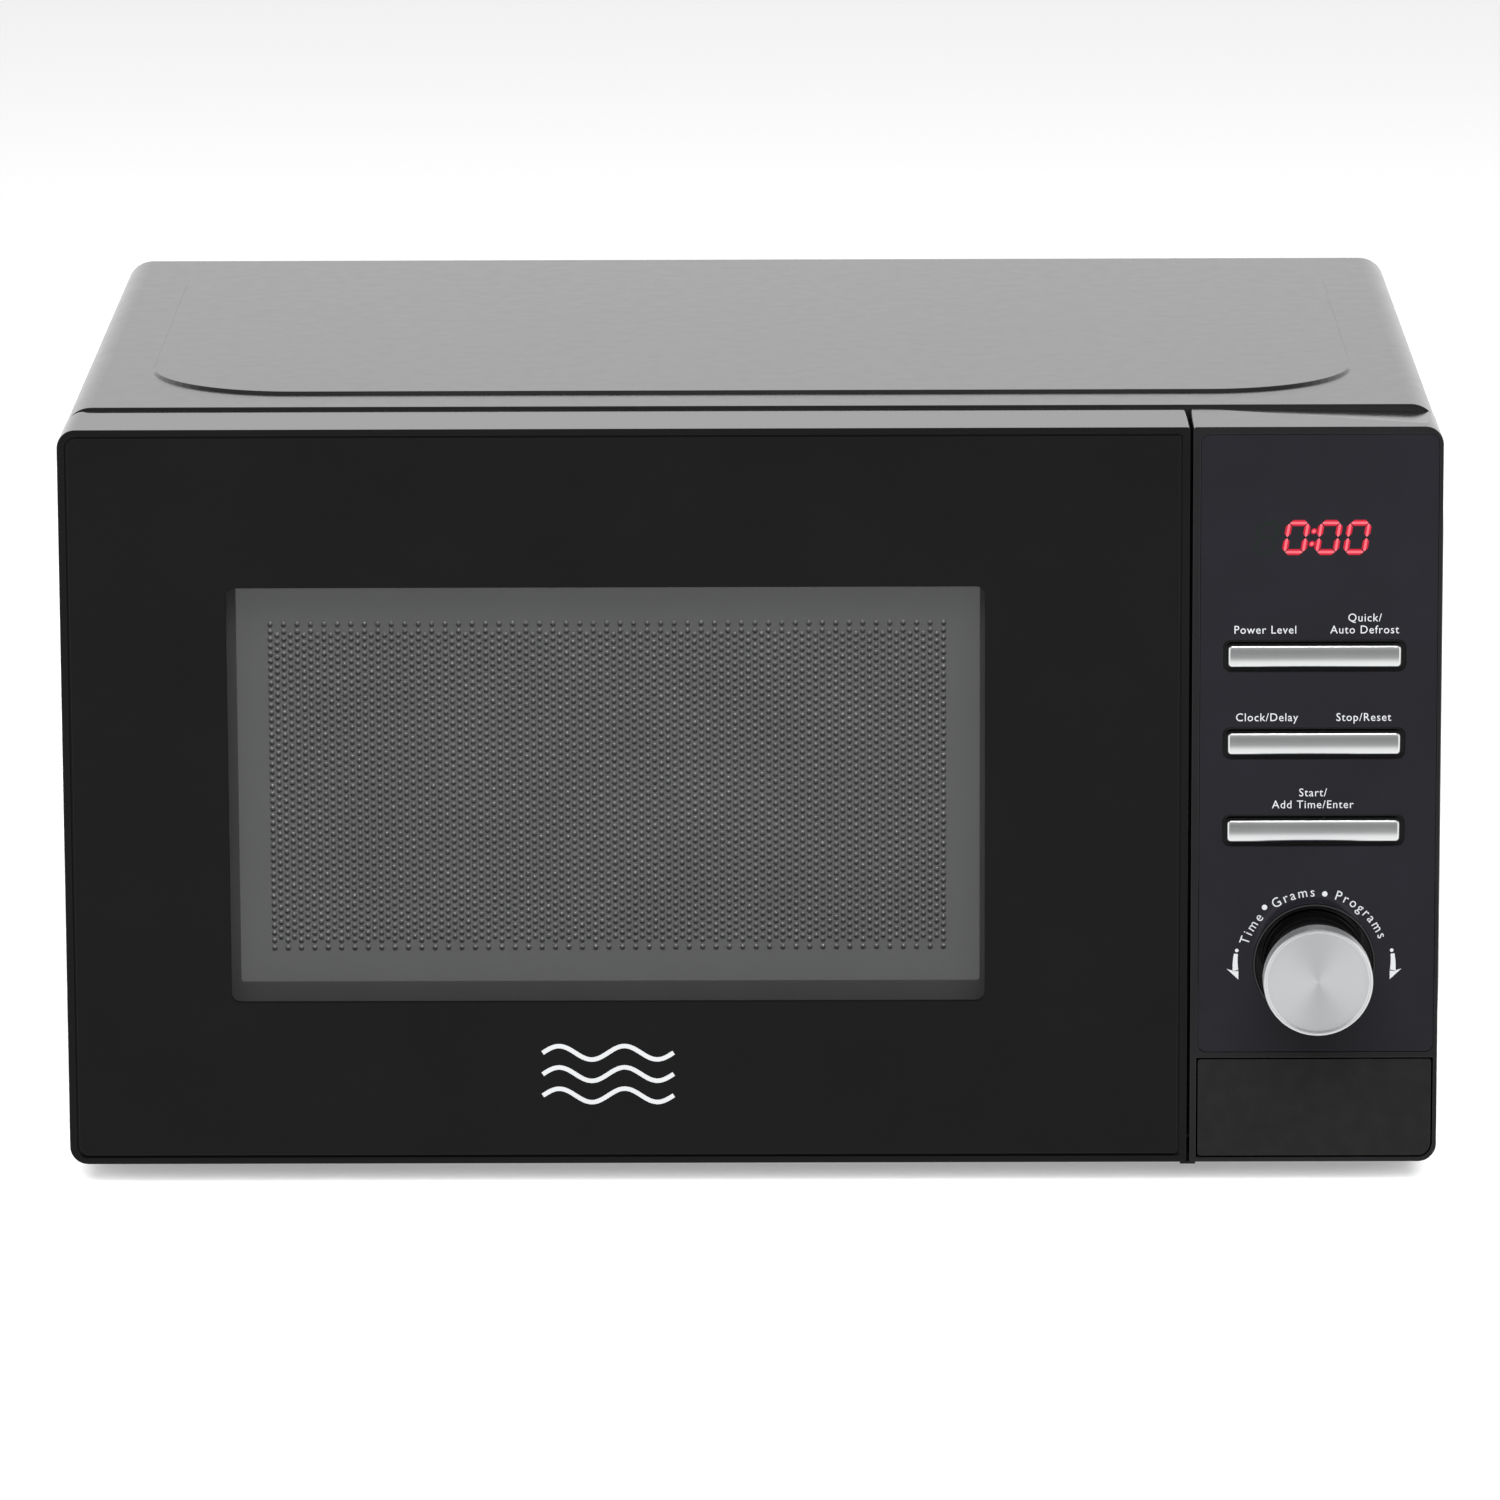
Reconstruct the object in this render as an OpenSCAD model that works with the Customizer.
// Countertop microwave oven: a steel cabinet round a square cavity, a side-hung glass door and
// a control panel with a knob, two rocker bars, a start bar and a door-release button.
// Every module works in shop coordinates: x from the middle of the front, y backwards from the
// front face of the door, z upwards from the lower edge of the front.

/* [Front] */
// Width of the front, door and control panel together
front_w = 452; // [450:1:456]
// Height of the front
front_h = 246.8; // [246:0.2:249]
// Height of the lower edge of the front above the table
foot_h = 9; // [7:1:14]
// Corner radius of the outline of the front
front_r = 6; // [4:0.5:7]
// Depth from the front face of the door to the rear edge of the cabinet
body_d = 340; // [338:1:350]

/* [Door] */
// Width of the door
door_w = 369.4; // [368.4:0.1:369.8]
// Gap between the door and the control panel
door_gap = 1.1; // [0.8:0.1:1.4]
// Radius of the rear edge of the door round the hinge pin
edge_r = 7.7; // [7.4:0.1:7.9]
// Distance of the hinge pin behind the front face of the door
pivot_y = 27; // [26:0.5:27]
// Thickness of the walls of the door frame and of the control housing
wall = 2.5; // [2:0.1:2.8]
// Width of the window seen through the glass
window_w = 248.5; // [240:0.5:250]
// Height of the window seen through the glass
window_h = 139.4; // [130:0.2:140]
// Depth of the perforated screen behind the front face
screen_y = 15; // [14:0.5:15.5]

/* [Cavity] */
// Inside width of the cooking cavity
cavity_w = 305; // [300:1:305]
// Inside height of the cooking cavity
cavity_h = 200; // [195:1:204]
// Inside depth of the cooking cavity
cavity_d = 290; // [280:1:292]
// Diameter of the glass tray
tray_d = 245; // [240:1:250]
// Radius at which the rollers run
roller_path_r = 100; // [96:1:104]

/* [Controls] */
// Diameter of the knob cap
knob_d = 35.8; // [34:0.2:36]
// How far the knob stands out of the panel
knob_out = 27; // [22:1:30]
// Length of the rocker bars and the start bar
bar_w = 56.6; // [54:0.2:57]
// Height of the bars
bar_h = 7.4; // [6.8:0.2:7.8]
// Distance between the bars
bar_pitch = 29.25; // [28:0.25:30]
// Travel of the door-release button
release_travel = 6; // [4:0.5:6]

/* [Hidden] */
$fn = 48;
eps = 0.05;
sheet = 1;
left = -front_w / 2;
right = front_w / 2;
front_z = [0, front_h];

// Door and panel outlines
door_x = [left, left + door_w];
panel_x = [door_x[1] + door_gap, right];
pivot_x = left + edge_r;
door_t = pivot_y + edge_r;
rim = 2.4;
glass_x = grow(door_x, -rim);
glass_z = grow(front_z, -rim + 0.2);
glass_r = 3.5;
window_x = about(-47.55, window_w);
window_z = about(124.4, window_h);
window_r = 3;
screen_x = [window_x[0] + 2.5, window_x[1] - 1.5];
screen_z = [window_z[0] + 3.8, window_z[1] - 2.2];
gap_guard_y = [2, door_t];

// Chassis
body_y = door_t + 1.5;
chassis_y = body_y + sheet;
rear_y = body_d;
cab_x = [left - 0.4, right + 0.4];
cab_z = [1, front_h + 0.9];
cab_r = 9;
top_bulge = 0.9;
side_bulge = 3.5;
screw_head = 1.6;
base_z = cab_z[0] + sheet;
base_top = base_z + sheet;
back_plate_y = [rear_y - 1.6, rear_y - 0.6];
foot_x = 185;
foot_y = [70, 300];
screw_x = 219;
screw_z = [40, 130, 220];
gland = [195, 28];

// Cooking cavity and turntable
cavity_x = about(-47.5, cavity_w);
cavity_z = [27, 27 + cavity_h];
cavity_y = [chassis_y, chassis_y + cavity_d];
turn = [mid(cavity_x), mid(cavity_y)];
pan_z = cavity_z[0] - 2;
pan_r = tray_d / 2 + 8;
wheel_r = 7.8;
wheel_gap = 0.2;
wheel_z = pan_z + wheel_r + wheel_gap;
tray_z = wheel_z + wheel_r + wheel_gap;
shaft_r = 3.5;
run_fit = 0.06;
bay_x = [cavity_x[1] + sheet, right - 1.5];
vent_in_y = 115;
vent_in_z = 173;
lamp_y = 300;
lamp_z = 108;
port_y = [155, 205];
port_z = [138, 193];

// Magnetron, duct and fan
guide_x = [bay_x[0], bay_x[0] + 26];
antenna = [235, 170];
fan_x = 166;
fan_z = 177;
fan_r = 53;
fan_plate_y = [314, 316];

// Controls
bar_x = 184.5;
bar_z = [for (i = [0, 1, 2]) 170.65 - i * bar_pitch];
bar_gap = 1.8;
bar_out = 1.2;
bar_back = 2.4;
floor_y = [4, 5];
rocker_y = 7.4;
rocker_post = 20;
board_y = 20;
post_end = 14.7;
fascia_z = [37.2, front_h - rim];
fascia_y = [0.2, 1.9];
knob = [185.2, 67.2];
dish_r = 20.1;
release_z = [1.4, 35.4];
release_depth = 16;

// Door latch and release gear
hook_x = [126, 133];
hook_z = 43.8;
hook_rise = 140;
hook_end = 64;
lever_y = 50;
lever_z = 38;
lever_r = 3;
lever_drop = 20;
rod_x_range = [150, 156];
tip_gap = 0.3;
slot_x = [hook_x[0] - 1.5, hook_x[1] + 3];
slot_z = [hook_z - 0.5, hook_z + 15.8];

// Hinge arms: upper and lower
arm_z = [10, 235];
arm_t = 2.5;
arm_w = 10;
pin_r = 2.5;

y_face = -(knob_out + body_d + screw_head - 0.6) / 2 + knob_out;

// Ranges
function about(centre, width) = [centre - width / 2, centre + width / 2];
function grow(range, by) = [range[0] - by, range[1] + by];
function mid(range) = (range[0] + range[1]) / 2;
function size(range) = range[1] - range[0];

// Outline helpers
module rect(x, y) {
    translate([x[0], y[0]]) square([size(x), size(y)]);
}

module rounded(x, y, r) {
    rect(grow(x, -r), y);
    rect(x, grow(y, -r));
    for (cx = grow(x, -r), cy = grow(y, -r))
        translate([cx, cy]) circle(r);
}

module along_x(x) {
    translate([x[0], 0, 0]) rotate([90, 0, 90]) linear_extrude(size(x)) children();
}

module along_y(y) {
    translate([0, y[1], 0]) rotate([90, 0, 0]) linear_extrude(size(y)) children();
}

module along_z(z) {
    translate([0, 0, z[0]]) linear_extrude(size(z)) children();
}

// Solid helpers, all given by their ranges
module block(x, y, z) {
    translate([x[0], y[0], z[0]]) cube([size(x), size(y), size(z)]);
}

module slab(x, y, z, r) {
    along_y(y) rounded(x, z, r);
}

module plate(x, y, z, r) {
    along_z(z) rounded(x, y, r);
}

module rod_x(x, y, z, r) {
    along_x(x) translate([y, z]) circle(r);
}

module rod_y(x, y, z, r) {
    along_y(y) translate([x, z]) circle(r);
}

module rod_z(x, y, z, r) {
    along_z(z) translate([x, y]) circle(r);
}

// A turned shape standing out of the panel: the profile is [radius, distance out]
module turned_out(centre) {
    translate([centre[0], 0, centre[1]]) rotate([90, 0, 0]) rotate_extrude() children();
}

module shop() {
    translate([0, y_face, foot_h]) children();
}

// A round slot through a side wall
module slot_through_x(x, y, z, r) {
    rod_x(x, y[0], z, r);
    rod_x(x, y[1], z, r);
    block(x, y, about(z, 2 * r));
}

module slot_through_y(x, y, z, r) {
    rod_y(x[0], y, z, r);
    rod_y(x[1], y, z, r);
    block(x, y, about(z, 2 * r));
}

// A close-coiled wire along z, swept as one closed tube
module coil(centre, z, radius, wire, turns) {
    steps = turns * 14;
    sides = 8;
    path = [for (i = [0:steps]) let (a = 360 * turns * i / steps)
        [radius * cos(a), radius * sin(a), z[0] + wire + (size(z) - 2 * wire) * i / steps, a]];
    points = [for (p = path, j = [0:sides - 1]) let (b = 360 * j / sides)
        [p[0] + wire * cos(b) * cos(p[3]), p[1] + wire * cos(b) * sin(p[3]), p[2] + wire * sin(b)]];
    quads = [for (i = [0:steps - 1], j = [0:sides - 1]) let (k = (j + 1) % sides)
        [i * sides + j, i * sides + k, (i + 1) * sides + k, (i + 1) * sides + j]];
    caps = [[for (j = [0:sides - 1]) sides - 1 - j], [for (j = [0:sides - 1]) steps * sides + j]];
    translate([centre[0], centre[1], 0])
        polyhedron(points = points, faces = concat(quads, caps), convexity = 8);
}

// ---- Cabinet ----

module cabinet_outline(inset) {
    rounded(grow(cab_x, -inset), grow(cab_z, -inset), cab_r - inset);
    rect(grow(cab_x, -inset), [cab_z[0] + inset, cab_z[1] - 2 * cab_r]);
}

module top_emboss(drop) {
    top = cab_z[1] - drop;
    x = [-202, 202];
    y = [61, rear_y - 11];
    hull($fn = 72) {
        along_z([top - 0.2, top]) rounded(x, y, 50);
        along_z([top, top + top_bulge]) rounded(grow(x, -0.9), grow(y, -0.9), 49.1);
    }
}

module side_emboss(side, drop) {
    x = cab_x[1] - drop;
    y = [44, rear_y - 12];
    z = [16, 231];
    mirror([side < 0 ? 1 : 0, 0, 0]) hull($fn = 32) {
        along_x([x - 0.2, x]) rounded(y, z, 30);
        along_x([x + side_bulge - 0.2, x + side_bulge]) rounded(grow(y, -11), grow(z, -11), 22);
    }
}

module side_louvres(x, y0, z0, columns, rows) {
    for (i = [0:columns - 1], j = [0:rows - 1])
        slot_through_x(x, [y0 + i * 34, y0 + i * 34 + 22], z0 + j * 8, 1.6);
}

module outer_cabinet() {
    flange = 11;
    color([0.09, 0.09, 0.10]) shop() difference() {
        union() {
            along_y([chassis_y, rear_y]) cabinet_outline(0);
            top_emboss(0);
            side_emboss(1, 0);
            side_emboss(-1, 0);
        }
        along_y([body_y, back_plate_y[0] - sheet]) cabinet_outline(sheet);
        along_y([back_plate_y[0], rear_y + 1]) cabinet_outline(sheet);
        slab(grow(cab_x, -flange), [body_y, rear_y], [cab_z[0] - 9, cab_z[1] - flange], 6);
        top_emboss(sheet);
        side_emboss(1, sheet);
        side_emboss(-1, sheet);
        side_louvres([cab_x[1] - 2, cab_x[1] + 5], 215, 52, 3, 6);
        side_louvres([cab_x[0] - 5, cab_x[0] + 2], 72, 168, 2, 5);
        for (side = [-1, 1], z = screw_z)
            rod_y(side * screw_x, [back_plate_y[0] - 2, back_plate_y[0] + 1], z, 1.75);
    }
}

module rear_panel() {
    color([0.55, 0.56, 0.57]) shop() difference() {
        slab(grow(cab_x, -1.2), back_plate_y, [base_z + 0.1, cab_z[1] - 1.2], cab_r - 1.2);
        for (j = [-5:5], half = [-1, 1])
            slot_through_y(about(fan_x + half * 23, 34), grow(back_plate_y, 1), fan_z + j * 8, 2);
        for (j = [0:7])
            slot_through_y([-190, -150], grow(back_plate_y, 1), 150 + j * 8, 2);
        for (side = [-1, 1], z = screw_z)
            rod_y(side * screw_x, grow(back_plate_y, 1), z, 1.75);
        rod_y(gland[0], grow(back_plate_y, 1), gland[1], 7);
    }
}

module base_plate() {
    x = grow(cab_x, -1.2);
    y = [chassis_y + 0.2, back_plate_y[0] - 1.2];
    z = [base_z, base_top];
    color([0.62, 0.63, 0.64]) shop() difference() {
        union() {
            block(x, y, z);
            block([x[0], x[0] + sheet], y, [base_z, base_z + 9]);
            block([x[1] - sheet, x[1]], y, [base_z, base_z + 9]);
        }
        for (fx = [-foot_x, foot_x], fy = foot_y)
            rod_z(fx, fy, grow(z, 1), 4);
        for (i = [0:9])
            plate(about(bay_x[0] + 12 + i * 8, 4), [215, 245], grow(z, 1), 1.9);
    }
}

module foot(x, y) {
    pad_r = 13;
    translate([x, y, -foot_h]) difference() {
        union() {
            cylinder(h = foot_h + base_z, r1 = pad_r - 2, r2 = pad_r);
            cylinder(h = foot_h + base_top + 4, r = 3.9);
        }
        for (i = [0:5])
            rotate([0, 0, 60 * i]) translate([pad_r + 0.6, 0, -1]) cylinder(h = foot_h - 1, r = 1.6);
    }
}

module feet() {
    color([0.12, 0.12, 0.12]) shop()
        for (x = [-foot_x, foot_x], y = foot_y)
            foot(x, y);
}

module case_screws() {
    color([0.7, 0.7, 0.72]) shop()
        for (side = [-1, 1], z = screw_z)
            difference() {
                union() {
                    rod_y(side * screw_x, [back_plate_y[1], back_plate_y[1] + screw_head], z, 3.8);
                    rod_y(side * screw_x, [back_plate_y[0] - 3, back_plate_y[1]], z, 1.7);
                }
                for (a = [0, 90])
                    translate([side * screw_x, back_plate_y[1] + screw_head, z]) rotate([0, a, 0])
                        cube([4.6, 2, 0.9], center = true);
            }
}

module cord_gland() {
    color([0.10, 0.10, 0.10]) shop() difference() {
        union() {
            rod_y(gland[0], [back_plate_y[1], back_plate_y[1] + screw_head], gland[1], 9.5);
            rod_y(gland[0], [back_plate_y[0] - 8, back_plate_y[1]], gland[1], 6.9);
            rod_y(gland[0], [back_plate_y[0] - 8, back_plate_y[0]], gland[1], 8.2);
        }
        rod_y(gland[0], [back_plate_y[0] - 9, rear_y + 3], gland[1], 3.5);
    }
}

// ---- Chassis ----

module front_plate() {
    y = [body_y, chassis_y];
    cut = grow(y, 1);
    color([0.08, 0.08, 0.085]) shop() difference() {
        slab(grow(cab_x, -1), y, [base_top, cab_z[1] - 1], cab_r - 1);
        slab(cavity_x, cut, cavity_z, 12);
        slab([panel_x[0] + 3.5, right - 6.5], cut, [8, 239], 3);
        for (z = [slot_z, slot_z + [hook_rise, hook_rise]])
            block(slot_x, cut, z);
        for (z = arm_z)
            block([left, pivot_x + arm_w / 2 + 0.5], cut, [z - 0.5, z + arm_t + 0.5]);
    }
}

module cavity_shell(inset, front) {
    intersection() {
        along_z(grow(cavity_z, inset))
            rounded(grow(cavity_x, inset), [front - 80, cavity_y[1] + inset], 25 + inset);
        slab(grow(cavity_x, inset), [front, cavity_y[1] + inset + 1], grow(cavity_z, inset), 12);
    }
}

module wall_holes(x, y, z, count, pitch, r) {
    for (i = [0:count - 1], j = [0:count - 1])
        rod_x(x, y + (i - (count - 1) / 2) * pitch, z + (j - (count - 1) / 2) * pitch, r);
}

module cavity() {
    right_wall = [cavity_x[1] - 1, cavity_x[1] + 2];
    left_wall = [cavity_x[0] - 2, cavity_x[0] + 1];
    color([0.80, 0.80, 0.79]) shop() difference() {
        union() {
            cavity_shell(sheet, cavity_y[0]);
            rod_z(turn[0], turn[1], [pan_z - sheet, cavity_z[0] - eps], pan_r + 1.5);
        }
        cavity_shell(0, cavity_y[0] - 1);
        rod_z(turn[0], turn[1], [pan_z, cavity_z[0] + eps], pan_r);
        rod_z(turn[0], turn[1], [pan_z - 2, pan_z + 1], 8);
        block(right_wall, port_y, port_z);
        wall_holes(right_wall, vent_in_y, vent_in_z, 8, 5, 1.5);
        wall_holes(right_wall, lamp_y, lamp_z, 4, 5, 1.5);
        wall_holes(left_wall, 85, 185, 7, 5, 1.5);
    }
}

module hinge_arm(z, flange_z, pin_z) {
    color([0.70, 0.71, 0.72]) shop() {
        rod_z(pivot_x, pivot_y, [z, z + arm_t], arm_w / 2);
        block(about(pivot_x, arm_w), [pivot_y, chassis_y + 2], [z, z + arm_t]);
        block([pivot_x - arm_w / 2, pivot_x + 13], [chassis_y, chassis_y + 2], flange_z);
        rod_z(pivot_x, pivot_y, pin_z, pin_r);
    }
}

module upper_hinge() {
    hinge_arm(arm_z[1], [arm_z[1] - 20, arm_z[1] + arm_t], [arm_z[1] - 9, arm_z[1] + 1]);
}

module lower_hinge() {
    hinge_arm(arm_z[0], [arm_z[0], arm_z[0] + 22], [arm_z[0] + 1, arm_z[0] + arm_t + 9]);
}

module turntable_motor() {
    color([0.66, 0.66, 0.62]) shop() difference() {
        union() {
            rod_z(turn[0], turn[1], [base_top, 18], 24.5);
            rod_z(turn[0], turn[1], [18, pan_z - sheet - 1], 6);
            block(about(turn[0], 62), about(turn[1], 12), [16, 18]);
        }
        rod_z(turn[0], turn[1], [10, pan_z], shaft_r + run_fit);
    }
}

// ---- Control panel ----

module bar_cutouts(y) {
    for (z = bar_z)
        slab(about(bar_x, bar_w + 2 * bar_gap), y, about(z, bar_h + 2 * bar_gap), 2.8);
}

module rocker_bearing(z) {
    for (side = [-1, 1])
        block(about(bar_x, 6), [floor_y[1] - 0.5, rocker_y + 2.1], about(z + side * 4.4, 2));
    rod_z(bar_x, rocker_y, about(z, 10.8), 1.5);
}

// The top of the housing falls away a little towards its rear right corner.
module housing_fall() {
    translate([panel_x[0], body_y, front_h]) rotate([0, 0, -21.5]) rotate([-2.8, 0, 0])
        translate([-1, 0, 0]) cube([120, 60, 5]);
}

module control_housing() {
    deep = [wall, front_h - wall];
    color([0.08, 0.08, 0.09]) shop() {
        difference() {
            along_y([0, body_y]) {
                rounded(panel_x, front_z, front_r);
                rounded([panel_x[0], bar_x], front_z, 1);
            }
            block(grow(panel_x, -wall), [floor_y[1], body_y + 1], deep);
            slab([panel_x[0] + rim, panel_x[1] - rim / 2], [-1, 2], fascia_z, 3);
            bar_cutouts([1, floor_y[0]]);
            for (z = bar_z) {
                block(about(bar_x, 8), [3, 6], about(z, 7));
                for (side = [-1, 1])
                    block(about(bar_x + side * rocker_post, 5), [3, 6], about(z, 5));
            }
            slab([165, 209], [1, 6], [198, 222], 2);
            rod_y(knob[0], [-1, 6], knob[1], dish_r + 0.15);
            block([panel_x[0] + 2, panel_x[1] - 1.3], [-1, release_depth], release_z);
            housing_fall();
        }
        block([panel_x[0], panel_x[0] + 2], gap_guard_y, [-1.2, eps]);
        block([door_x[1] - 2, panel_x[0] + 1], gap_guard_y, [-1.2, -0.4]);
        for (z = [bar_z[0], bar_z[1]])
            rocker_bearing(z);
        for (x = [152, 218], z = [54, 232])
            rod_y(x, [floor_y[1] - 0.5, board_y], z, 3);
    }
}

module control_fascia() {
    color([0.15, 0.15, 0.17]) shop() difference() {
        slab([panel_x[0] + rim + 0.2, panel_x[1] - rim / 2 - 0.2], fascia_y, grow(fascia_z, -0.2), 2.8);
        bar_cutouts([-1, 3]);
        rod_y(knob[0], [-1, 3], knob[1], dish_r + 0.15);
    }
}

module knob_bezel() {
    color([0.05, 0.05, 0.05]) shop() turned_out(knob)
        polygon([
            [5, -7], [23, -7], [23, -5], [dish_r, -5], [dish_r, 0.2], [dish_r - 0.5, 0.4],
            [dish_r - 0.9, 0.2], [dish_r - 0.9, -0.8], [dish_r - 1.5, -0.8], [dish_r - 1.5, -5.2], [5, -5.2]
        ]);
}

module display_module() {
    color([0.12, 0.12, 0.13]) shop() {
        block([163, 211], [8, board_y], [196, 224]);
        block([167, 207], [6, 8], [200, 220]);
    }
}

module control_board() {
    color([0.10, 0.32, 0.18]) shop() {
        block([149.5, 221], [board_y, board_y + 1.6], [48, 240]);
        block([160, 178], [board_y + 1.6, board_y + 4], [150, 168]);
        block([186, 204], [board_y + 1.6, board_y + 13], [105, 120]);
        block([160, 176], [board_y + 1.6, board_y + 13], [100, 122]);
        rod_y(212, [board_y + 1.6, board_y + 12], 150, 5);
        rod_y(212, [board_y + 1.6, board_y + 12], 170, 5);
    }
}

module tact_switches() {
    color([0.25, 0.25, 0.26]) shop()
        for (p = [[-rocker_post, 0], [rocker_post, 0], [-rocker_post, 1], [rocker_post, 1], [0, 2]]) {
            block(about(bar_x + p[0], 6), [board_y - 3, board_y], about(bar_z[p[1]], 6));
            rod_y(bar_x + p[0], [post_end + 1.05, board_y - 3], bar_z[p[1]], 1.75);
        }
}

module encoder() {
    color([0.60, 0.60, 0.58]) shop() difference() {
        union() {
            block(about(knob[0], 12), [13, board_y], about(knob[1], 12));
            rod_y(knob[0], [8, 13], knob[1], 4.5);
        }
        rod_y(knob[0], [7, 14], knob[1], lever_r + run_fit);
    }
}

module encoder_shaft() {
    color([0.75, 0.75, 0.76]) shop() rod_y(knob[0], [-15, 13], knob[1], lever_r);
}

module knob_body() {
    cap = knob_out - 2.6;
    color([0.06, 0.06, 0.06]) shop() turned_out(knob)
        polygon([
            [3.02, -3], [8, -3], [8, 14], [15.4, 14], [15.4, -3.6], [17, -3.6],
            [knob_d / 2 - 0.9, cap - 5], [knob_d / 2 - 1.3, cap], [0, cap], [0, 16], [3.02, 16]
        ]);
}

module knob_cap() {
    r = knob_d / 2;
    color([0.80, 0.80, 0.81]) shop() turned_out(knob)
        polygon([
            [0, knob_out - 2.6], [r - 1.3, knob_out - 2.6], [r - 0.9, knob_out - 7.4], [r, knob_out - 7.4],
            [r, knob_out - 1.4], [r - 1.4, knob_out], [r - 2.0, knob_out], [r - 2.4, knob_out - 0.5],
            [0, knob_out - 0.5]
        ]);
}

// A bar with a crowned face
module bar_face(z) {
    crown = 13;
    intersection() {
        slab(about(bar_x, bar_w), [-bar_out, bar_back], about(z, bar_h), 1.2);
        rod_x(about(bar_x, bar_w), crown - bar_out, z, crown);
    }
}

module rocker(z) {
    color([0.75, 0.76, 0.76]) shop() difference() {
        union() {
            bar_face(z);
            block(about(bar_x, 5.6), [bar_back - 0.5, rocker_y + 2], about(z, 6));
            for (side = [-1, 1])
                rod_y(bar_x + side * rocker_post, [bar_back - 0.5, post_end], z, 1.2);
        }
        rod_z(bar_x, rocker_y, about(z, 12), 1.5 + run_fit);
    }
}

module rocker_upper() {
    rocker(bar_z[0]);
}

module rocker_middle() {
    rocker(bar_z[1]);
}

module start_bar() {
    color([0.75, 0.76, 0.76]) shop() {
        bar_face(bar_z[2]);
        for (dx = [-rocker_post, rocker_post])
            rod_y(bar_x + dx, [bar_back - 0.5, 12], bar_z[2], 1.2);
        rod_y(bar_x, [bar_back - 0.5, post_end], bar_z[2], 1.2);
    }
}

module release_button() {
    x = [panel_x[0] + 2.6, panel_x[1] - 1.9];
    z = grow(release_z, -0.6);
    skin = 1.6;
    color([0.10, 0.10, 0.10]) shop() {
        difference() {
            slab(x, [0.2, 9], z, 1);
            block(grow(x, -skin), [2.7, 10], grow(z, -skin));
        }
        block(rod_x_range, [2.5, lever_y - lever_r - tip_gap], about(lever_z - lever_drop, 2 * lever_r));
        rod_x(rod_x_range, lever_y - lever_r - tip_gap, lever_z - lever_drop, lever_r);
    }
}

// ---- Latch, interlock and release gear ----

module hook(z) {
    along_x(hook_x) polygon([
        [24, z + 3.5], [24, z + 11.5], [hook_end - 4, z + 11.5], [hook_end, z + 7],
        [hook_end, z + 1.5], [hook_end - 1.5, z], [hook_end - 6, z], [hook_end - 6, z + 3.5]
    ]);
}

module door_latch() {
    color([0.85, 0.85, 0.83]) shop() {
        block(hook_x, [22, 29], [hook_z - 8, hook_z + hook_rise + 26]);
        hook(hook_z);
        hook(hook_z + hook_rise);
    }
}

module latch_spring() {
    color([0.6, 0.6, 0.62]) shop()
        coil([mid(hook_x), 25.5], [hook_z + hook_rise + 26.1, 227.9], 2.6, 0.4, 6);
}

module release_spring() {
    color([0.6, 0.6, 0.62]) shop()
        coil([145.5, lever_y + 9], [lever_z + 2.1, lever_z + 19.9], 2.4, 0.4, 6);
}

module release_lever() {
    color([0.85, 0.85, 0.83]) shop() {
        rod_x([119.5, 158], lever_y, lever_z, lever_r);
        block(rod_x_range, [lever_y, lever_y + 3], [lever_z - lever_drop - 5, lever_z]);
        block([142.5, 148.5], [lever_y, lever_y + 12.5], [lever_z - 2, lever_z + 2]);
        block([126.5, 132.5], [lever_y, lever_y + 13.5], [lever_z - 3, lever_z + 0.5]);
        block([126.5, 132.5], [lever_y + 10.5, lever_y + 13.5], [lever_z - 3, lever_z + 3.5]);
        rod_x([126.5, 132.5], lever_y + 12, lever_z + 3.5, 2);
    }
}

module interlock_bracket() {
    web = [137.5, 139.5];
    foot_face = [chassis_y, chassis_y + 2];
    color([0.88, 0.88, 0.86]) shop() difference() {
        union() {
            block(web, [chassis_y, 84], [30, 214]);
            for (z = [[30, slot_z[0]], [slot_z[1], slot_z[0] + hook_rise], [slot_z[1] + hook_rise, 214]])
                block([112, web[1]], foot_face, z);
            block([118, 120.5], [chassis_y, 56], [30, slot_z[0]]);
            for (z = [hook_z, hook_z + hook_rise])
                block([slot_x[0] + 0.5, web[1]], [lever_y + 3.5, hook_end - 6.4], [z - 2.2, z - 0.3]);
            block([web[0], 149.5], [lever_y + 3.4, lever_y + 15], [lever_z + 20, lever_z + 22.5]);
        }
        rod_x([115, 145], lever_y, lever_z, lever_r + run_fit);
    }
}

module interlock_switches() {
    color([0.20, 0.20, 0.22]) shop()
        for (z = [hook_z, hook_z + 103, hook_z + hook_rise]) {
            block([127, 137.5], [67, 83], [z, z + 27]);
            block([130, 134], [hook_end + 0.6, 67], [z + 5, z + 9]);
        }
}

// ---- Microwave source, cooling and power ----

module waveguide() {
    y = [150, 275];
    z = [128, 203];
    color([0.74, 0.75, 0.76]) shop() difference() {
        block(guide_x, y, z);
        block(grow(guide_x, -1.2), grow(y, -1.2), grow(z, -1.2));
        block([guide_x[0] - 1, guide_x[0] + 2], port_y, port_z);
        rod_x([guide_x[1] - 2, guide_x[1] + 1], antenna[0], antenna[1], 11);
    }
}

module mica_cover() {
    x = [cavity_x[1] - 0.8, cavity_x[1]];
    color([0.72, 0.66, 0.52]) shop()
        along_x(x) rounded(grow(port_y, 6), grow(port_z, 6), 4);
}

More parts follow.
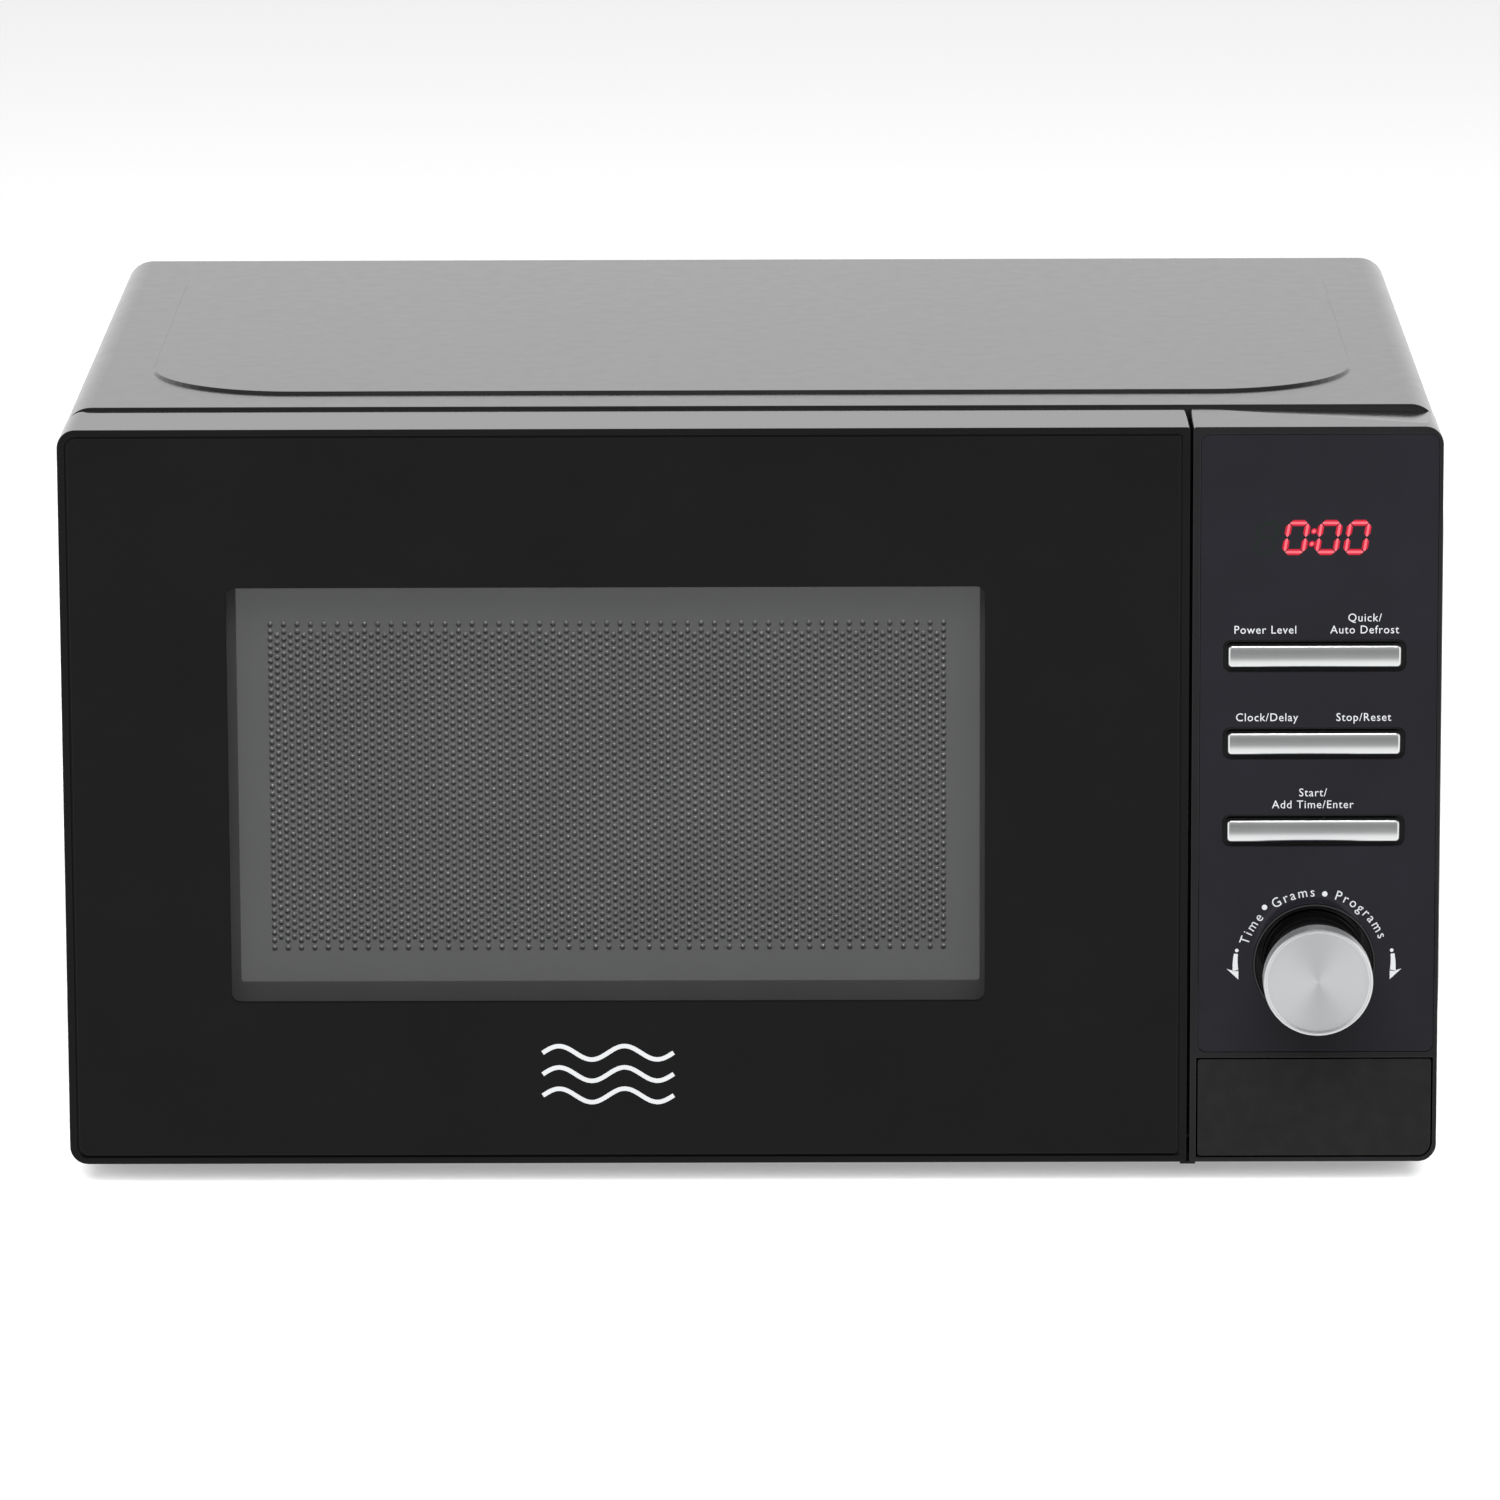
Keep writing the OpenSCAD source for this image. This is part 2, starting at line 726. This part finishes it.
module magnetron() {
    y = about(antenna[0], 80);
    z = about(antenna[1], 70);
    x0 = guide_x[1];
    yoke_x = [x0 + 1.5, x0 + 53];
    color([0.70, 0.71, 0.73]) shop() {
        block([x0, x0 + 1.5], grow(y, 3), grow(z, 5));
        difference() {
            block(yoke_x, y, z);
            block(grow(yoke_x, -2), grow(y, 1), grow(z, -2));
        }
        for (i = [0:7])
            block([x0 + 9 + i * 5, x0 + 9.8 + i * 5], grow(y, -2), grow(z, -1.9));
        rod_x([x0 + 3, x0 + 51.5], antenna[0], antenna[1], 19);
        block([yoke_x[1], yoke_x[1] + 27], grow(y, -10), grow(z, -5));
        rod_x([x0 - 14, x0 + 1], antenna[0], antenna[1], 7.5);
    }
}

module air_duct() {
    z = [130, 208];
    skin = 1.5;
    reach_x = [bay_x[0], 216];
    shaft_x = [guide_x[1] + 2.5, 216];
    color([0.16, 0.16, 0.17]) shop() difference() {
        union() {
            block(reach_x, [87, 148], z);
            block(shaft_x, [140, 193], z);
        }
        block([reach_x[0] - 1, reach_x[1] - skin], [87 + skin, 148 - skin], grow(z, -skin));
        block(grow(shaft_x, -skin), [140, 194], grow(z, -skin));
    }
}

module transformer_core() {
    y = [105, 160];
    color([0.35, 0.35, 0.37]) shop() {
        block([112, 218], grow(y, 4), [base_top, base_top + 3]);
        difference() {
            block([120, 210], y, [base_top + 3, 82]);
            for (x = [[139, 153], [177, 191]])
                block(x, grow(y, 1), [20, 70]);
        }
    }
}

module transformer_coils() {
    color([0.62, 0.34, 0.16]) shop()
        for (z = [[20.2, 44], [46, 69.8]])
            difference() {
                plate([139.2, 190.8], [92, 173], z, 6);
                block([152.9, 177.1], [104.9, 160.1], grow(z, 1));
            }
}

module capacitor() {
    color([0.68, 0.69, 0.70]) shop() {
        slab([120, 170], [198, 285], [base_top + 1.5, base_top + 33.5], 15.9);
        for (x = [136, 154])
            rod_y(x, [193, 198], base_top + 18, 3);
        difference() {
            slab([118.5, 171.5], [235, 250], [base_top, base_top + 35], 17);
            slab([119.9, 170.1], [234, 251], [base_top + 1.4, base_top + 33.6], 16);
        }
    }
}

module hv_diode() {
    color([0.14, 0.14, 0.15]) shop() {
        rod_y(190, [200, 224], base_top + 8, 4);
        block(about(190, 8), [224, 236], [base_top, base_top + 12]);
    }
}

module hv_leads() {
    lead_r = 1.8;
    climb = [188, 168];
    color([0.70, 0.12, 0.10]) shop() {
        rod_z(climb[0], climb[1], [69.8, 120], lead_r);
        translate([climb[0], climb[1], 120]) sphere(lead_r);
        rod_y(climb[0], [climb[1], antenna[0]], 120, lead_r);
        translate([climb[0], antenna[0], 120]) sphere(lead_r);
        rod_z(climb[0], antenna[0], [120, antenna[1] - 30], lead_r);
        rod_y(154, [173, 193], base_top + 18, lead_r);
    }
}

module fan_motor() {
    shaft_bore = 2.5 + run_fit;
    color([0.45, 0.45, 0.47]) shop() difference() {
        union() {
            block(about(fan_x, 50), [288, 303], about(fan_z, 44));
            rod_y(fan_x, [283, 307], fan_z, 11);
            block(about(fan_x, 96), [303, 305], about(fan_z, 10));
            for (side = [-1, 1])
                rod_y(fan_x + side * 44, [305, fan_plate_y[0]], fan_z, 3.5);
        }
        rod_y(fan_x, [288, 308], fan_z, shaft_bore);
    }
}

module fan_housing() {
    color([0.20, 0.20, 0.21]) shop() {
        difference() {
            block([108, 223], fan_plate_y, [119, 236]);
            rod_y(fan_x, grow(fan_plate_y, 1), fan_z, fan_r - 17);
        }
        difference() {
            rod_y(fan_x, [fan_plate_y[1], back_plate_y[0] - 1.5], fan_z, fan_r + 1.5);
            rod_y(fan_x, [fan_plate_y[1] - 1, rear_y], fan_z, fan_r);
        }
        block([214, 223], fan_plate_y, [base_top, 119]);
    }
}

module blade(angle) {
    translate([fan_x, 326, fan_z]) rotate([0, angle, 0]) translate([29, 0, 0]) rotate([34, 0, 0])
        cube([38, 1.6, 20], center = true);
}

module fan_blade() {
    blades = 7;
    color([0.80, 0.80, 0.76]) shop() {
        rod_y(fan_x, [319, 333], fan_z, 12);
        rod_y(fan_x, [290, 332], fan_z, 2.5);
        for (i = [0:blades - 1])
            blade(360 * i / blades);
    }
}

module cavity_lamp() {
    color([0.90, 0.88, 0.78]) shop() {
        rod_x([bay_x[0] + 2, bay_x[0] + 20], lamp_y, lamp_z, 8);
        block([bay_x[0] + 20, bay_x[0] + 30], about(lamp_y, 18), about(lamp_z, 20));
        block([bay_x[0], bay_x[0] + 30], [lamp_y + 9, lamp_y + 10.5], about(lamp_z, 20));
    }
}

module thermal_cutouts() {
    color([0.82, 0.82, 0.80]) shop() {
        rod_z(guide_x[1] + 30, antenna[0], [antenna[1] + 35, antenna[1] + 42], 8);
        rod_z(40, 250, [cavity_z[1] + sheet, cavity_z[1] + 8], 8);
    }
}

module filter_board() {
    y = [324, 325.6];
    color([0.72, 0.62, 0.36]) shop() {
        block([120, 210], y, [40, 104]);
        block([126, 152], [308, y[0]], [74, 98]);
        block([160, 186], [312, y[0]], [80, 96]);
        rod_y(172, [306, y[0]], 58, 13);
        block([128, 148], [316, y[0]], [48, 54]);
    }
}

// ---- Door ----

module door_plan(inset, y) {
    x = grow(door_x, -inset);
    rect([x[0], x[1]], [y[0], pivot_y]);
    rect([pivot_x, x[1]], y);
    translate([pivot_x, pivot_y]) circle(edge_r - inset);
}

module hinge_notch(z) {
    block([left - 1, pivot_x + 5.7], [pivot_y - 7, door_t + 1], [z - 0.6, z + arm_t + 0.6]);
}

module door_outline(x, z, r) {
    rounded(x, z, r);
    rounded([mid(x), x[1]], z, 1);
}

module door_frame() {
    boss_r = 6.5;
    guide_y = [floor_y[1] - 0.5, 29.5];
    color([0.08, 0.08, 0.09]) shop() difference() {
        union() {
            difference() {
                intersection() {
                    along_z(front_z) door_plan(0, [0, door_t]);
                    along_y([-1, door_t + 1]) door_outline(door_x, front_z, front_r);
                }
                along_z(grow(front_z, -wall)) door_plan(wall, [floor_y[1], door_t + 1]);
                along_y([-1, 2.8]) door_outline(grow(glass_x, 0.15), grow(glass_z, 0.15), glass_r);
                slab(grow(window_x, 1.5), [1, 6], grow(window_z, 1.5), window_r + 1.5);
            }
            rod_z(pivot_x, pivot_y, [arm_z[0] + arm_t, 29], boss_r);
            rod_z(pivot_x, pivot_y, [218, arm_z[1]], boss_r);
            for (x = [hook_x[0] - 2.7, hook_x[1] + 0.3], z = [90, 140])
                block([x, x + 2.4], guide_y, [z, z + 24]);
            block([hook_x[0] - 2, hook_x[1] + 2], guide_y, [228, 231]);
            block([hook_x[0] - 2, hook_x[1] + 2], guide_y, [32, hook_z - 8.2]);
        }
        rod_z(pivot_x, pivot_y, [arm_z[0], arm_z[1] + 4], pin_r + run_fit);
        hinge_notch(arm_z[0]);
        hinge_notch(arm_z[1]);
    }
}

module door_glass() {
    color([0.2, 0.2, 0.22, 0.5]) shop() along_y([0.3, 2.8]) door_outline(glass_x, glass_z, glass_r);
}

module window_bezel() {
    y = [floor_y[1], screen_y];
    color([0.22, 0.22, 0.23]) shop() difference() {
        slab(grow(window_x, 6), y, grow(window_z, 6), window_r + 4);
        slab(grow(window_x, 4), [y[0] - 1, y[1] - 1.2], grow(window_z, 4), window_r + 2);
        slab(screen_x, grow(y, 1), screen_z, 1);
    }
}

module door_screen() {
    color([0.36, 0.36, 0.37]) shop()
        block([-190, 96], [screen_y, screen_y + sheet], [45, 205]);
}

module door_panel() {
    dish_x = [-184, 90];
    dish_z = [45, 205];
    front = screen_y + sheet;
    back = 31.5;
    flange_x = [-210, 122];
    flange_z = [12, 235];
    color([0.80, 0.80, 0.79]) shop() {
        difference() {
            slab(dish_x, [front, back + sheet], dish_z, 8);
            slab(grow(dish_x, -sheet), [front + sheet, back + 2], grow(dish_z, -sheet), 7);
            slab([-168, 73], [front - 1, front + 2], [60, 190], 4);
        }
        difference() {
            slab(flange_x, [22, back + sheet], flange_z, 5);
            slab(grow(flange_x, -sheet), [21, back], grow(flange_z, -sheet), 4);
            slab(grow(dish_x, -sheet / 2), [21, back + 2], grow(dish_z, -sheet / 2), 7.5);
        }
    }
}

module choke_cover() {
    y = [32.5, door_t - 0.1];
    cut = grow(y, 1);
    color([0.14, 0.14, 0.15]) shop() difference() {
        slab([-211, door_x[1] - wall - 0.4], y, grow(front_z, -wall - 0.5), 4);
        slab([-182, 88], cut, [47, 203], 8);
        for (z = [slot_z, slot_z + [hook_rise, hook_rise]])
            block([hook_x[0] - 1, hook_x[1] + 1], cut, z);
        for (i = [0:24])
            for (z = [18, 222])
                block(about(-167 + i * 10, 5), [y[0] + 1.2, y[1] + 1], [z, z + 14]);
    }
}

module inner_film() {
    y = screen_y + 2 * sheet;
    color([0.8, 0.85, 0.85, 0.35]) shop()
        slab([-182.8, 88.8], [y, y + 0.5], [46.2, 203.8], 7);
}

// ---- Turntable ----

module about_turn(z) {
    translate([turn[0], turn[1], z]) children();
}

module drive_coupler() {
    color([0.86, 0.86, 0.84]) shop() {
        rod_z(turn[0], turn[1], [11, pan_z + 4], shaft_r);
        rod_z(turn[0], turn[1], [pan_z + 2, tray_z - 6], 7);
        about_turn(tray_z - 6) linear_extrude(6) {
            circle(7);
            for (i = [0:2])
                rotate(90 + 120 * i) rect([3, 22], [-4, 4]);
        }
    }
}

module glass_tray() {
    r = tray_d / 2;
    color([0.75, 0.85, 0.85, 0.45]) shop() {
        about_turn(tray_z) rotate_extrude($fn = 96) polygon([
            [0, 0], [r - 21, 0], [r - 14, 1.2], [r - 8, 4.6], [r - 2.5, 11.6], [r, 15], [r - 0.8, 16.2],
            [r - 2.6, 16], [r - 5.5, 12.6], [r - 10.5, 7.2], [r - 16, 4.8], [r - 22, 4], [0, 4]
        ]);
        for (i = [0:2])
            about_turn(tray_z - 5) rotate([0, 0, 150 + 120 * i]) translate([11, -5, 0]) cube([7, 10, 6]);
    }
}

module roller_ring() {
    ring_r = roller_path_r - 13;
    color([0.88, 0.88, 0.86]) shop() {
        about_turn(0) difference() {
            translate([0, 0, wheel_z - 3.5]) cylinder(h = 7, r = ring_r + 3);
            translate([0, 0, wheel_z - 5]) cylinder(h = 10, r = ring_r - 3);
        }
        for (i = [0:2])
            about_turn(wheel_z) rotate([0, 90, 90 + 120 * i]) {
                translate([0, 0, ring_r]) cylinder(h = 19.5, r = 1.5);
                translate([0, 0, ring_r + 2]) cylinder(h = 6, r = 3);
                translate([0, 0, roller_path_r + 4.6]) cylinder(h = 1.9, r = 2.6);
            }
    }
}

module roller(index) {
    color([0.92, 0.92, 0.90]) shop() about_turn(wheel_z) rotate([0, 90, 90 + 120 * index])
        translate([0, 0, roller_path_r - 4]) difference() {
            cylinder(h = 8, r = wheel_r);
            translate([0, 0, -1]) cylinder(h = 10, r = 1.5 + run_fit);
            for (end = [-1, 7])
                translate([0, 0, end]) difference() {
                    cylinder(h = 2, r = wheel_r - 1.6);
                    translate([0, 0, -1]) cylinder(h = 4, r = 3.2);
                }
        }
}

module roller_1() {
    roller(0);
}

module roller_2() {
    roller(1);
}

module roller_3() {
    roller(2);
}

outer_cabinet();
rear_panel();
base_plate();
front_plate();
cavity();
feet();
case_screws();
cord_gland();
upper_hinge();
lower_hinge();
control_housing();
control_fascia();
knob_bezel();
display_module();
control_board();
tact_switches();
encoder();
interlock_bracket();
interlock_switches();
release_spring();
waveguide();
mica_cover();
magnetron();
air_duct();
transformer_core();
transformer_coils();
capacitor();
hv_diode();
hv_leads();
fan_motor();
fan_housing();
cavity_lamp();
thermal_cutouts();
filter_board();
turntable_motor();
door_frame();
door_glass();
window_bezel();
door_screen();
door_panel();
choke_cover();
inner_film();
latch_spring();
door_latch();
release_lever();
release_button();
rocker_upper();
rocker_middle();
start_bar();
knob_body();
knob_cap();
encoder_shaft();
drive_coupler();
glass_tray();
roller_ring();
roller_1();
roller_2();
roller_3();
fan_blade();
